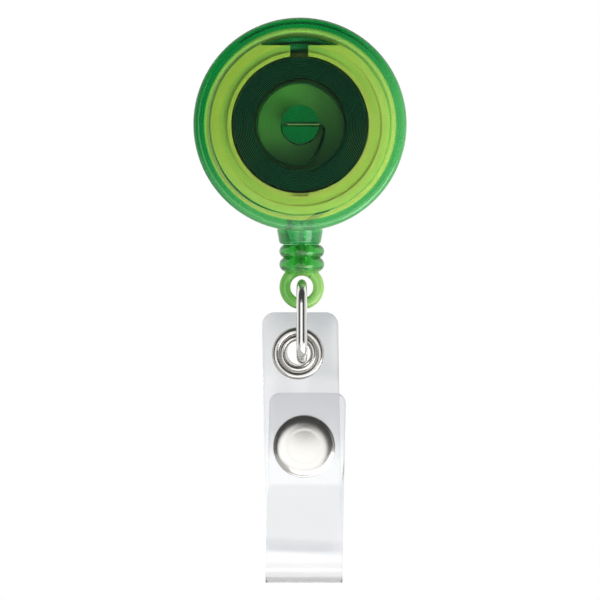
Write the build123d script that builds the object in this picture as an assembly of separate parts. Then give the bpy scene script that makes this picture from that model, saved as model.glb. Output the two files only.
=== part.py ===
from build123d import *
import math
import os

# Retractable badge reel: a round two-shell case with a spring-wound cord, an end fitting, a wire
# link, a snap strap for the badge and a spring-steel belt clip.
# Millimetres. +Z is up, the face looks along -Y, and x = z = 0 is the spool's axis. y = 0 is the
# middle of the belt clip's throat.

# Case
case_radius = 16.0
case_depth = 9.0
side_wall = 1.6
face_wall = 1.2
case_edge_round = 0.9
tongue_height = 0.8
tongue_wall = 0.7
tongue_clearance = 0.05

# Belt clip
clip_throat = 4.6
clip_metal = 0.8
clip_width = 12.0
clip_bend_z = 10.6
clip_plate_foot_z = -11.0
clip_blade_run = 19.5
clip_flare_radius = 5.0
clip_flare_turn = 38.0
clip_corner = 3.0
clip_root_turn = 20.0
clip_hinge_gap = 0.12

# Rivets
rivet_offset = 5.5
rivet_shank_radius = 0.8
rivet_head_radius = 1.5
rivet_head = 0.35
rivet_sink = 0.75

# Spool
flange = 0.8
spool_rear_gap = 0.5
spool_front_gap = 0.8
thrust_boss = 0.3
thrust_boss_width = 1.45
rear_flange_clearance = 0.2
front_flange_clearance = 0.93
front_step_width = 1.17
front_step = 0.25
drum_wall = 0.6
drum_lip = 0.4
slot_left = 1.5
slot_right = 1.25
cut_reach = 0.8
cut_bar_height = 1.57
cut_bar_half_width = 5.8
notch_half_width = 1.2
notch_depth = 0.45

# Arbor
arbor_radius = 2.85
arbor_running_clearance = 0.08
arbor_front_gap = 0.3
arbor_slot = 0.75
arbor_spigot_radius = 2.0

# Power spring
spring_strip = 0.12
spring_pitch = 0.24
spring_half_turns = 29
spring_drum_gap = 0.25
spring_side_gap = 0.25
spring_hook_radius = 0.45
spring_hook_turn = 62.0
spring_hook_run = 0.12
tail_start_x = 1.9
tail_arbor_gap = 0.05
tail_bend_radius = 1.2

# Cord
cord_radius = 0.4
winding_depth = 2.32
winding_rim_gap = 1.15
winding_clearance = 0.05
lead_corner_sink = 0.24
knot_radius = 0.75
knot_clearance = 0.08
hang_x = 0.27

# Nozzle
nozzle_root_radius = 3.46
nozzle_tip_radius = 3.1
nozzle_shoulder = 0.1
nozzle_length = 2.07
nozzle_tip_round = 0.6
nozzle_sink = 0.8
funnel_mouth_radius = 2.3
funnel_exit_clearance = 0.28
funnel_mouth_rise = 0.4

# End fitting
fitting_gap = 0.03
bead_height = 1.95
bead_radius = 3.4
bead_waist_radius = 2.8
fitting_waist_radius = 2.55
fitting_waist_drop = 4.1
fitting_neck_radius = 1.75
fitting_top_radius = 2.7
fitting_shoulder = 0.65
fitting_hole_clearance = 0.2
fitting_chamber_clearance = 0.3
end_knot_radius = 0.9
end_tail = 1.3
eye_outer_radius = 3.38
eye_hole_radius = 1.7
eye_drop = 6.4
neck_drop = 4.65

# Wire link
link_wire_radius = 0.825
link_inner_half_width = 1.9
link_top_slack = 0.5
link_length = 12.8

# Strap
strap_width = 11.5
strap_sheet = 0.5
strap_top_gap = 0.42
strap_length = 40.6
strap_corner = 1.9
fold_inner_radius = 2.4
fold_hinge_gap = 0.64
fold_x = 0.6
flap_top_x = 1.15
flap_height = 28.5
flap_corner = 1.6
flap_bend_radius = 12.0
flap_straight = 1.5

# Eyelet
eyelet_x = -0.3
eyelet_drop = 6.2
eyelet_hole_radius = 1.85
eyelet_wall = 0.3
eyelet_flange_radius = 3.95
eyelet_flange = 0.45
eyelet_ring_width = 0.95
eyelet_ring = 0.2
washer = 0.4
curl = 0.35

# Snap
snap_height = 20.5
snap_x = 0.63
cap_radius = 4.7
cap_height = 1.05
cap_edge_round = 0.5
socket_radius = 4.3
socket_height = 1.7
socket_bore_clearance = 0.25
socket_floor = 0.3
socket_groove_depth = 0.65
socket_groove = 0.65
snap_gap = 0.2
ring_wire_radius = 0.24
ring_split = 0.8
stud_radius = 2.1
stud_neck_radius = 1.8
stud_flange_radius = 3.9
stud_flange = 0.4
stud_height = 1.25
stud_head = 0.7
snap_post_radius = 0.9
snap_post_flange = 0.45
snap_post_reach = 1.1

# Places along Y, from the back of the throat to the face
clip_bend_radius = clip_throat / 2 + clip_metal / 2
plate_centre_y = -clip_bend_radius
case_back_y = -clip_throat / 2 - clip_metal
case_front_y = case_back_y - case_depth
case_middle_y = case_back_y - case_depth / 2
rear_wall_y = case_back_y - face_wall
front_wall_y = case_front_y + face_wall
spool_depth = case_depth - 2 * face_wall - spool_rear_gap - spool_front_gap
winding_width = spool_depth - 2 * flange - drum_lip
spool_rear_y = rear_wall_y - spool_rear_gap
winding_rear_y = spool_rear_y - flange
winding_front_y = winding_rear_y - winding_width
spool_front_y = winding_front_y - flange
lip_front_y = spool_front_y - drum_lip
spring_rear_y = winding_rear_y - spring_side_gap
spring_front_y = lip_front_y + spring_side_gap
arbor_front_y = front_wall_y + arbor_front_gap

# Radii that follow from the walls
cavity_radius = case_radius - side_wall
rear_flange_radius = cavity_radius - rear_flange_clearance
front_flange_radius = cavity_radius - front_flange_clearance
winding_radius = cavity_radius - winding_rim_gap
drum_radius = winding_radius - winding_depth
drum_inner_radius = drum_radius - drum_wall
spring_inner_radius = drum_inner_radius - spring_drum_gap - spring_half_turns * spring_pitch / 2
tail_exit_x = arbor_radius + tail_arbor_gap
funnel_exit_radius = hang_x + cord_radius + funnel_exit_clearance
socket_bore_radius = stud_radius + socket_bore_clearance

# Places down the hanging line
nozzle_root_z = -case_radius + nozzle_shoulder
nozzle_tip_z = nozzle_root_z - nozzle_length
fitting_top_z = nozzle_tip_z - fitting_gap
shoulder_z = fitting_top_z - fitting_shoulder
end_knot_z = shoulder_z - winding_clearance - end_knot_radius
neck_z = fitting_top_z - neck_drop
eye_z = fitting_top_z - eye_drop
eye_tube_radius = (eye_outer_radius - eye_hole_radius) / 2
eye_ring_radius = eye_hole_radius + eye_tube_radius
link_top_z = eye_z + eye_hole_radius - link_top_slack
link_bottom_z = link_top_z - link_length
link_arc_radius = link_inner_half_width + link_wire_radius
strap_top_z = eye_z - eye_outer_radius - strap_top_gap
fold_arc_radius = fold_inner_radius + strap_sheet / 2
strap_bottom_z = strap_top_z - strap_length
fold_z = strap_bottom_z + fold_inner_radius + strap_sheet
eyelet_z = strap_top_z - eyelet_drop
snap_z = strap_bottom_z + snap_height

# Places through the strap's layers, which hang under the middle of the case
back_face_y = case_middle_y + strap_sheet / 2
back_inner_y = case_middle_y - strap_sheet / 2
stud_base_y = back_inner_y - stud_flange
socket_rear_y = stud_base_y - snap_gap
socket_front_y = socket_rear_y - socket_height
flap_y = socket_front_y - strap_sheet / 2
flap_face_y = socket_front_y - strap_sheet
fold_front_y = case_middle_y - 2 * fold_arc_radius


def disc(radius, y_from, y_to, x=0.0, z=0.0):
    """A cylinder along Y between two planes."""
    middle = (y_from + y_to) / 2
    return Pos(x, middle, z) * Rot(90, 0, 0) * Cylinder(radius, abs(y_to - y_from))


def ring(outer, inner, y_from, y_to, x=0.0, z=0.0):
    return disc(outer, y_from, y_to, x, z) - disc(inner, y_from, y_to, x, z)


def block(x_from, x_to, y_from, y_to, z_from, z_to):
    middle = Pos((x_from + x_to) / 2, (y_from + y_to) / 2, (z_from + z_to) / 2)
    return middle * Box(abs(x_to - x_from), abs(y_to - y_from), abs(z_to - z_from))


def turned(points, x=0.0, z=0.0):
    """A solid turned about a Y axis, from corners given as (radius, y)."""
    face = make_face(Polyline(*points, close=True))
    return Pos(x, 0, z) * revolve(face, Axis.Y)


def step_along(place, heading, move):
    """The place and heading in degrees after one line or arc of a strip's path."""
    x, z = place
    angle = math.radians(heading)
    if move[0] == "line":
        return (x + move[1] * math.cos(angle), z + move[1] * math.sin(angle)), heading
    radius, turn = move[1], move[2]
    side = math.copysign(1, turn)
    centre = (x - side * radius * math.sin(angle), z + side * radius * math.cos(angle))
    after = math.radians(heading + turn)
    end = (centre[0] + side * radius * math.sin(after), centre[1] - side * radius * math.cos(after))
    return end, heading + turn


def beside(place, heading, offset):
    angle = math.radians(heading)
    return place[0] - offset * math.sin(angle), place[1] + offset * math.cos(angle)


def strip_face(start, heading, moves, thickness):
    """A face of even thickness along lines and tangent arcs, for bent sheet seen on edge."""
    edges = []
    half = thickness / 2
    place, first = start, heading
    for move in moves:
        end, after = step_along(place, heading, move)
        for offset in (-half, half):
            near, far = beside(place, heading, offset), beside(end, after, offset)
            if move[0] == "line":
                edges.append(Line(near, far))
                continue
            middle, between = step_along(place, heading, ("arc", move[1], move[2] / 2))
            edges.append(ThreePointArc(near, beside(middle, between, offset), far))
        place, heading = end, after
    edges.append(Line(beside(start, first, -half), beside(start, first, half)))
    edges.append(Line(beside(place, heading, -half), beside(place, heading, half)))
    return make_face(edges)


def side_strip(start, heading, moves, thickness, x_from, x_to):
    """A strip whose path is drawn in the YZ plane, as wide along X as its two ends say."""
    face = Plane.YZ * strip_face(start, heading, moves, thickness)
    return Pos(x_from, 0, 0) * extrude(face, x_to - x_from, dir=(1, 0, 0))


def case_body():
    """The closed outside of the case with its nozzle, before it is hollowed and split."""
    body = disc(case_radius, case_front_y, case_back_y)
    body = fillet(body.edges().filter_by(GeomType.CIRCLE), case_edge_round)
    profile = Polyline(
        (0, nozzle_root_z + nozzle_sink),
        (nozzle_root_radius, nozzle_root_z + nozzle_sink),
        (nozzle_root_radius, nozzle_root_z),
        (nozzle_tip_radius, nozzle_tip_z),
        (0, nozzle_tip_z),
        close=True,
    )
    nozzle = revolve(Plane.XZ * make_face(profile), Axis.Z)
    nozzle = fillet(nozzle.edges().group_by(Axis.Z)[0], nozzle_tip_round)
    return body + Pos(0, case_middle_y, 0) * nozzle


def funnel():
    """The cord's way out through the rim and the nozzle."""
    mouth_z = -cavity_radius + funnel_mouth_rise
    length = mouth_z - nozzle_tip_z
    cone = Cone(funnel_exit_radius, funnel_mouth_radius, length)
    return Pos(0, case_middle_y, (mouth_z + nozzle_tip_z) / 2) * cone


def tongue(clearance):
    """The rear cover's locating ring, or with a clearance the front cover's groove for it."""
    outer = cavity_radius + tongue_wall + clearance
    return ring(outer, cavity_radius, case_middle_y, case_middle_y - tongue_height - clearance)


def hollow_case():
    return case_body() - disc(cavity_radius, front_wall_y, rear_wall_y) - funnel()


def front_half():
    reach = case_radius + nozzle_length + face_wall
    return block(-reach, reach, case_front_y - face_wall, case_middle_y, -reach, reach)


def front_cover():
    return (hollow_case() & front_half()) - tongue(tongue_clearance)


def rivet_holes():
    holes = []
    for z in (-rivet_offset, rivet_offset):
        holes += turned(rivet_outline(), z=z)
    return holes


def rear_cover():
    shell = (hollow_case() - front_half()) + (tongue(0) - funnel())
    return shell - disc(arbor_spigot_radius, rear_wall_y, case_back_y) - rivet_holes()


def spring_arbor():
    """The slotted post: its spigot is pressed into the rear cover."""
    post = disc(arbor_radius, rear_wall_y, arbor_front_y)
    post += disc(arbor_spigot_radius, case_back_y, rear_wall_y)
    half = arbor_slot / 2
    return post - block(-arbor_radius, arbor_radius, spring_rear_y, arbor_front_y, -half, half)


def rivet_outline():
    """A rivet's half section as (radius, y): head in the throat, shank and sunk inner end."""
    inner_y = rear_wall_y + winding_clearance
    return (
        (0, plate_centre_y + clip_metal / 2 + rivet_head),
        (rivet_head_radius, plate_centre_y + clip_metal / 2 + rivet_head),
        (rivet_head_radius, plate_centre_y + clip_metal / 2),
        (rivet_shank_radius, plate_centre_y + clip_metal / 2),
        (rivet_shank_radius, inner_y + rivet_sink),
        (rivet_head_radius, inner_y),
        (0, inner_y),
    )


def clip_rivets():
    rivets = [turned(rivet_outline(), z=z) for z in (-rivet_offset, rivet_offset)]
    return Compound(children=[rivet.solid() for rivet in rivets])


def clip_plate():
    """The clip's fixed leg, flat against the rear cover, with the root of its bend."""
    half = clip_width / 2
    plate = block(-half, half, case_back_y, case_back_y + clip_metal, clip_plate_foot_z, clip_bend_z)
    plate = fillet(plate.edges().filter_by(Axis.Y).group_by(Axis.Z)[0], clip_corner)
    root = (("arc", clip_bend_radius, -clip_root_turn),)
    plate += side_strip((plate_centre_y, clip_bend_z), 90.0, root, clip_metal, -half, half)
    return plate - rivet_holes()


def clip_blade():
    """The clip's bend and sprung leg, with a foot that flares away from the belt."""
    half = clip_width / 2
    skipped = clip_root_turn + math.degrees(clip_hinge_gap / clip_bend_radius)
    start, heading = step_along((plate_centre_y, clip_bend_z), 90.0, ("arc", clip_bend_radius, -skipped))
    moves = (
        ("arc", clip_bend_radius, skipped - 180.0),
        ("line", clip_blade_run),
        ("arc", clip_flare_radius, clip_flare_turn),
    )
    blade = side_strip(start, heading, moves, clip_metal, -half, half)
    corners = blade.edges().group_by(Axis.Z)[0].vertices()
    foot_z = min(corner.Z for corner in corners)
    keep = block(-half, half, -clip_throat, 2 * clip_throat, foot_z, clip_bend_z + clip_throat)
    keep = fillet(keep.edges().filter_by(Axis.Y).group_by(Axis.Z)[0], clip_corner)
    return blade & keep


def cord_spool():
    """Drum and two flanges. The drum holds the spring, and the front flange has its loading cut."""
    bore = arbor_radius + arbor_running_clearance
    spool = ring(rear_flange_radius, bore, spool_rear_y, winding_rear_y)
    spool += ring(arbor_radius + thrust_boss_width, bore, spool_rear_y + thrust_boss, spool_rear_y)
    spool += ring(drum_radius, drum_inner_radius, winding_rear_y, lip_front_y)
    spool += ring(front_flange_radius, drum_inner_radius, winding_front_y, spool_front_y)
    raised_y = spool_front_y - front_step
    reach, foot = front_flange_radius, drum_inner_radius - cut_reach
    spool += ring(reach, reach - front_step_width, spool_front_y, raised_y)
    spool -= block(-slot_left, slot_right, spring_rear_y, lip_front_y, foot, drum_radius)
    spool -= block(-slot_left, slot_right, winding_front_y, lip_front_y, foot, reach)
    bar_x = cut_bar_half_width
    spool -= block(-bar_x, bar_x, winding_front_y, lip_front_y, reach - cut_bar_height, reach)
    notch_foot = -drum_inner_radius - notch_depth
    notch_head = -drum_inner_radius + drum_wall
    notch_x = notch_half_width
    return spool - block(-notch_x, notch_x, spool_front_y, lip_front_y, notch_foot, notch_head)


def power_spring():
    """Flat strip from the arbor's slot, out in a clockwise coil, to a hook through the drum."""
    quarter = spring_inner_radius - tail_bend_radius
    drop = quarter - (tail_exit_x + tail_bend_radius)
    moves = [
        ("line", tail_exit_x + tail_start_x),
        ("arc", tail_bend_radius, -90.0),
        ("line", drop),
        ("arc", tail_exit_x + tail_bend_radius, -90.0),
    ]
    for turn in range(spring_half_turns):
        moves.append(("arc", spring_inner_radius + (2 * turn + 1) * spring_pitch / 4, -180.0))
    moves.append(("arc", spring_hook_radius, spring_hook_turn))
    moves.append(("line", spring_hook_run))
    face = Plane.XZ * strip_face((-tail_start_x, 0), 0.0, moves, spring_strip)
    spring = extrude(face, spring_rear_y - spring_front_y, dir=(0, -1, 0))
    return Pos(0, spring_rear_y, 0) * spring


def spool_knot_place():
    return 0, winding_front_y + winding_clearance + knot_radius, -drum_radius - knot_radius - knot_clearance


def spool_knot():
    """The knot at the cord's inner end, beside the drum."""
    return Pos(*spool_knot_place()) * Sphere(knot_radius)


def cord_winding():
    """The wound cord as one closed ring, with a pocket for its knot."""
    rear, front = winding_rear_y - winding_clearance, winding_front_y + winding_clearance
    wound = ring(winding_radius, drum_radius + winding_clearance, rear, front)
    return wound - Pos(*spool_knot_place()) * Sphere(knot_radius + knot_clearance)


def lead_points():
    """The cord's corners: off the winding at a tangent, over the funnel's lip and down to the knot."""
    reel = winding_radius - cord_radius
    corner = Vector(hang_x, case_middle_y, -cavity_radius - lead_corner_sink)
    reach = math.hypot(corner.X, corner.Z)
    angle = math.acos(reel / reach) + math.asin(hang_x / reach)
    start = Vector(reel * math.sin(angle), case_middle_y, -reel * math.cos(angle))
    return start, corner, Vector(hang_x, case_middle_y, shoulder_z + fitting_shoulder / 2)


def cord_lead():
    """The cord from the winding's surface to the fitting: one limp tube."""
    points = lead_points()
    before, after = points[1] - points[0], points[2] - points[1]
    turn = before.get_angle(after)
    radius = 0.45 * min(before.length, after.length) / math.tan(math.radians(turn / 2))
    path = FilletPolyline(*points, radius=[radius])
    section = Plane(origin=points[0], z_dir=before) * Circle(cord_radius)
    tube = sweep(section, path=path)
    share = tube.volume / (math.pi * cord_radius**2 * path.length)
    print(f"cord lead: turn {turn:.1f} deg, radius {radius:.2f} mm, volume share {share:.4f}")
    return tube - disc(winding_radius, winding_rear_y, winding_front_y)


def end_knot():
    """Stem, knot and tail at the cord's outer end."""
    line = Pos(hang_x, case_middle_y, 0)
    top_z, tail_z = shoulder_z + fitting_shoulder / 2, end_knot_z - end_knot_radius - end_tail
    stem = Pos(0, 0, (top_z + tail_z) / 2) * Cylinder(cord_radius, top_z - tail_z)
    return line * (Pos(0, 0, end_knot_z) * Sphere(end_knot_radius) + stem)


def end_fitting():
    """Two beads turned about the cord, and the eye that the wire link goes through."""
    waist_z = fitting_top_z - bead_height
    lower_z = fitting_top_z - fitting_waist_drop
    edges = [
        Line((0, fitting_top_z), (fitting_top_radius, fitting_top_z)),
        ThreePointArc(
            (fitting_top_radius, fitting_top_z),
            (bead_radius, fitting_top_z - bead_height / 2),
            (bead_waist_radius, waist_z),
        ),
        ThreePointArc(
            (bead_waist_radius, waist_z),
            (bead_radius, waist_z - bead_height / 2),
            (fitting_waist_radius, lower_z),
        ),
        Line((fitting_waist_radius, lower_z), (fitting_neck_radius, neck_z)),
        Line((fitting_neck_radius, neck_z), (0, neck_z)),
        Line((0, neck_z), (0, fitting_top_z)),
    ]
    beads = revolve(Plane.XZ * make_face(edges), Axis.Z)
    eye = Pos(0, 0, eye_z) * Rot(90, 0, 0) * Torus(eye_ring_radius, eye_tube_radius)
    depth = fitting_top_z - neck_z
    hole = Pos(0, 0, fitting_top_z - depth / 2) * Cylinder(cord_radius + fitting_hole_clearance, depth)
    chamber_depth = shoulder_z - neck_z
    chamber_radius = end_knot_radius + fitting_chamber_clearance
    chamber = Pos(0, 0, shoulder_z - chamber_depth / 2) * Cylinder(chamber_radius, chamber_depth)
    return Pos(hang_x, case_middle_y, 0) * (beads + eye - hole - chamber)


def wire_link():
    """Closed oval of round wire, hanging edge on to the front."""
    top, bottom = link_top_z - link_wire_radius, link_bottom_z + link_wire_radius
    high, low = top - link_arc_radius, bottom + link_arc_radius
    front, back = case_middle_y - link_arc_radius, case_middle_y + link_arc_radius
    path = Wire(
        [
            Line((hang_x, front, low), (hang_x, front, high)),
            ThreePointArc((hang_x, front, high), (hang_x, case_middle_y, top), (hang_x, back, high)),
            Line((hang_x, back, high), (hang_x, back, low)),
            ThreePointArc((hang_x, back, low), (hang_x, case_middle_y, bottom), (hang_x, front, low)),
        ]
    )
    section = Plane(origin=(hang_x, front, low), z_dir=(0, 0, 1)) * Circle(link_wire_radius)
    return sweep(section, path=path)


def outline_prism(top_x, bottom_x, top_z, bottom_z, corner):
    """The strap's front outline, through all its layers."""
    half = strap_width / 2
    face = make_face(
        Polyline(
            (bottom_x - half, bottom_z),
            (top_x - half, top_z),
            (top_x + half, top_z),
            (bottom_x + half, bottom_z),
            close=True,
        )
    )
    face = fillet(face.vertices().group_by(Axis.Y)[-1], corner)
    prism = extrude(Plane.XZ * face, 4 * fold_arc_radius, dir=(0, -1, 0))
    return Pos(0, back_face_y, 0) * prism


def strap_strip(start, heading, moves):
    return side_strip(start, heading, moves, strap_sheet, -strap_width, strap_width)


def fold_quarter():
    """Degrees of the fold's arc on each side of its split."""
    return 90.0 - math.degrees(fold_hinge_gap / 2 / fold_arc_radius)


def strap_back():
    """Rear layer of the strap, round to the middle of the bottom fold."""
    moves = (("line", strap_top_z - fold_z), ("arc", fold_arc_radius, -fold_quarter()))
    strip = strap_strip((case_middle_y, strap_top_z), -90.0, moves)
    strap = strip & outline_prism(0.0, fold_x, strap_top_z, strap_bottom_z, strap_corner)
    barrel = eyelet_hole_radius + eyelet_wall
    strap -= disc(barrel, back_inner_y, back_face_y, eyelet_x, eyelet_z)
    return strap - disc(snap_post_radius, back_inner_y, back_face_y, snap_x, snap_z)


def strap_flap():
    """Front layer of the strap: from the fold it leans in to the snap and runs straight up."""
    lean = math.degrees(math.acos(1 - (flap_y - fold_front_y) / (2 * flap_bend_radius)))
    lean_rise = 2 * flap_bend_radius * math.sin(math.radians(lean))
    top_z = strap_bottom_z + flap_height
    moves = (
        ("line", flap_straight),
        ("arc", flap_bend_radius, -lean),
        ("arc", flap_bend_radius, lean),
        ("line", top_z - fold_z - flap_straight - lean_rise),
    )
    strip = strap_strip((fold_front_y, fold_z), 90.0, moves)
    strip += strap_strip((fold_front_y, fold_z), -90.0, (("arc", fold_arc_radius, fold_quarter()),))
    flap = strip & outline_prism(flap_top_x, fold_x, top_z, strap_bottom_z, flap_corner)
    return flap - disc(snap_post_radius, socket_front_y, flap_face_y, snap_x, snap_z)


def eyelet():
    """Flanged barrel through the strap, curled over its washer at the back."""
    barrel = eyelet_hole_radius + eyelet_wall
    flange_y = back_inner_y - eyelet_flange
    back_y = back_face_y + washer
    ring_radius = eyelet_hole_radius + eyelet_ring_width
    points = (
        (eyelet_hole_radius, back_y + curl),
        (barrel + curl, back_y + curl),
        (barrel + curl, back_y),
        (barrel, back_y),
        (barrel, back_inner_y),
        (eyelet_flange_radius, back_inner_y),
        (eyelet_flange_radius - eyelet_ring, flange_y),
        (ring_radius, flange_y),
        (ring_radius - eyelet_ring, flange_y - eyelet_ring),
        (eyelet_hole_radius + eyelet_ring, flange_y - eyelet_ring),
        (eyelet_hole_radius, flange_y),
    )
    return turned(points, eyelet_x, eyelet_z)


def eyelet_washer():
    barrel = eyelet_hole_radius + eyelet_wall
    return ring(eyelet_flange_radius, barrel, back_face_y, back_face_y + washer, eyelet_x, eyelet_z)


def snap_cap():
    """Round cap on the flap, with the post that the socket is riveted to."""
    cap = disc(cap_radius, flap_face_y - cap_height, flap_face_y, snap_x, snap_z)
    cap = fillet(cap.edges().group_by(Axis.Y)[0], cap_edge_round)
    post_end_y = socket_front_y + socket_floor
    return cap + disc(snap_post_radius, flap_face_y, post_end_y, snap_x, snap_z)


def snap_socket():
    floor_y = socket_front_y + socket_floor
    socket = ring(socket_radius, socket_bore_radius, socket_rear_y, floor_y, snap_x, snap_z)
    socket += ring(socket_radius, snap_post_radius, floor_y, socket_front_y, snap_x, snap_z)
    middle = (socket_rear_y + floor_y) / 2
    near, far = middle + socket_groove / 2, middle - socket_groove / 2
    return socket - disc(socket_bore_radius + socket_groove_depth, near, far, snap_x, snap_z)


def snap_spring():
    """Split ring of round wire in the socket's groove."""
    middle = (socket_rear_y + socket_front_y + socket_floor) / 2
    groove_radius = socket_bore_radius + socket_groove_depth
    radius = groove_radius - winding_clearance - ring_wire_radius
    wire = Rot(90, 0, 0) * Torus(radius, ring_wire_radius)
    half = ring_split / 2
    gap = block(-half, half, -ring_wire_radius, ring_wire_radius, 0, groove_radius)
    return Pos(snap_x, middle, snap_z) * (wire - gap)


def snap_stud():
    neck_y = stud_base_y - stud_height + stud_head
    points = (
        (snap_post_radius, back_inner_y),
        (stud_flange_radius, back_inner_y),
        (stud_flange_radius, stud_base_y),
        (stud_neck_radius, stud_base_y),
        (stud_neck_radius, neck_y),
        (stud_radius, neck_y - stud_head / 2),
        (stud_neck_radius, neck_y - stud_head),
        (snap_post_radius, neck_y - stud_head),
    )
    return turned(points, snap_x, snap_z)


def snap_post():
    """Rear flange and post that the stud is riveted on."""
    flange_solid = disc(stud_flange_radius, back_face_y, back_face_y + snap_post_flange, snap_x, snap_z)
    flange_solid = fillet(flange_solid.edges().group_by(Axis.Y)[-1], snap_post_flange / 2)
    shank = disc(snap_post_radius, back_face_y, back_inner_y - snap_post_reach, snap_x, snap_z)
    return flange_solid + shank


pieces = (
    front_cover,
    rear_cover,
    spring_arbor,
    clip_plate,
    clip_blade,
    clip_rivets,
    cord_spool,
    power_spring,
    cord_winding,
    spool_knot,
    cord_lead,
    end_knot,
    end_fitting,
    wire_link,
    strap_back,
    strap_flap,
    eyelet,
    eyelet_washer,
    snap_cap,
    snap_socket,
    snap_spring,
    snap_stud,
    snap_post,
)

os.makedirs("parts", exist_ok=True)
for piece in pieces:
    export_step(piece(), f"parts/{piece.__name__}.step")
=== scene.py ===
import bmesh
import bpy
import math
import numpy as np
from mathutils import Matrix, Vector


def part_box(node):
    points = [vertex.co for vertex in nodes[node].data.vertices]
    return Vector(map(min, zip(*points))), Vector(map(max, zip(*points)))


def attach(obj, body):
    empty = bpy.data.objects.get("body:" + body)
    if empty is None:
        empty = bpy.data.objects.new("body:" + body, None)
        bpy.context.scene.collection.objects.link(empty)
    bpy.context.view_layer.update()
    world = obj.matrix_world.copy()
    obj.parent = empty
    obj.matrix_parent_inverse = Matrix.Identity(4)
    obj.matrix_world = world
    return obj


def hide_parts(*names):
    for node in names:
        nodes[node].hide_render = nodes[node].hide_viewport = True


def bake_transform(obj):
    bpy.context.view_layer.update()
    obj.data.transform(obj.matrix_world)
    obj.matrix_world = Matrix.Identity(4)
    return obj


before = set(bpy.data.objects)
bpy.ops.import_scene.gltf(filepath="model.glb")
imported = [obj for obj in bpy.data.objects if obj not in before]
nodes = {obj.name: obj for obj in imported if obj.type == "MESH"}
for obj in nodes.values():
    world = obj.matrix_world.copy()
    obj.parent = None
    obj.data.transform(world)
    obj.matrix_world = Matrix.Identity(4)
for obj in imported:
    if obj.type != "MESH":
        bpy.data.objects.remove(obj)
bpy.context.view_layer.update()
mm = 0.001

# the reel's face, the plane where its covers meet, and the line that cord, fitting and strap hang on
faceY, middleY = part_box("front_cover")[0][1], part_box("front_cover")[1][1]
cordRadius = 0.4 * mm
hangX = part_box("cord_lead")[0][0] + cordRadius
weldPoints, weldPieces = 0.0001 * mm, 0.001 * mm  # points nearer than this become one
mostTurn = 6  # degrees that a bent strip turns in one step
sharp = math.radians(60)  # edges sharper than this are rounded
throughFace = (0.0, 1.0, 0.0)  # square to the face, and never along a path in its plane


def linear(hexColour):
    # an sRGB hex colour as linear red, green, blue and alpha
    channels = np.array([int(hexColour[i:i + 2], 16) for i in (0, 2, 4)]) / 255
    low, high = channels / 12.92, ((channels + 0.055) / 1.055) ** 2.4
    return (*np.where(channels <= 0.04045, low, high).tolist(), 1.0)


def addNode(tree, kind, settings=None, values=None, links=None):
    # one node with its settings, its inputs' values, and links as (node, output) for each input
    node = tree.nodes.new(kind)
    for key, value in (settings or {}).items():
        setattr(node, key, value)
    for key, value in (values or {}).items():
        node.inputs[key].default_value = value
    for key, (source, output) in (links or {}).items():
        tree.links.new(source.outputs[output], node.inputs[key])
    return node


def newMaterial(name):
    # an empty material and its tree
    material = bpy.data.materials.new(name)
    material.use_nodes = True
    material.node_tree.nodes.clear()
    return material, material.node_tree


def fillRamp(ramp, stops):
    # a stop at each (place, colour); every place is set before any colour, as a moved stop changes order
    elements = ramp.color_ramp.elements
    for _ in stops[2:]:
        elements.new(1.0)
    for element, (place, _) in zip(elements, stops):
        element.position = place
    for element, (_, colour) in zip(elements, stops):
        element.color = colour


def smoothPiece(name, mesh):
    # welds doubled points, turns the faces outward and shades them smooth
    work = bmesh.new()
    work.from_mesh(mesh)
    bmesh.ops.remove_doubles(work, verts=work.verts, dist=weldPoints)
    bmesh.ops.recalc_face_normals(work, faces=work.faces)
    work.to_mesh(mesh)
    work.free()
    mesh.polygons.foreach_set("use_smooth", np.ones(len(mesh.polygons), bool))
    piece = bpy.data.objects.new(name, mesh)
    bpy.context.scene.collection.objects.link(piece)
    return piece


def gridPiece(name, points, closeRows=False, closeCols=False, uv=None):
    # each quad joins a point, the next one along, the one across from that, and the one across from the
    # first; a closed direction joins its last line to its first
    rows, cols = points.shape[:2]
    index = np.arange(rows * cols).reshape(rows, cols)
    index = np.vstack((index, index[:1])) if closeRows else index
    index = np.hstack((index, index[:, :1])) if closeCols else index
    quads = np.stack((index[:-1, :-1], index[1:, :-1], index[1:, 1:], index[:-1, 1:]), axis=-1)
    mesh = bpy.data.meshes.new(name)
    mesh.from_pydata(points.reshape(-1, 3).tolist(), [], quads.reshape(-1, 4).tolist())
    if uv is not None:
        alongStep, aroundStep = uv
        i, j = np.meshgrid(np.arange(index.shape[0] - 1), np.arange(index.shape[1] - 1), indexing="ij")
        u = np.stack((i, i + 1, i + 1, i), axis=-1) * alongStep
        v = np.stack((j, j, j + 1, j + 1), axis=-1) * aroundStep
        layer = mesh.uv_layers.new(name="length")
        layer.data.foreach_set("uv", np.stack((u, v), axis=-1).astype(np.float32).ravel())
    return smoothPiece(name, mesh)


def unit(vectors):
    # each vector over its own length
    return vectors / np.linalg.norm(vectors, axis=-1, keepdims=True)


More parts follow.
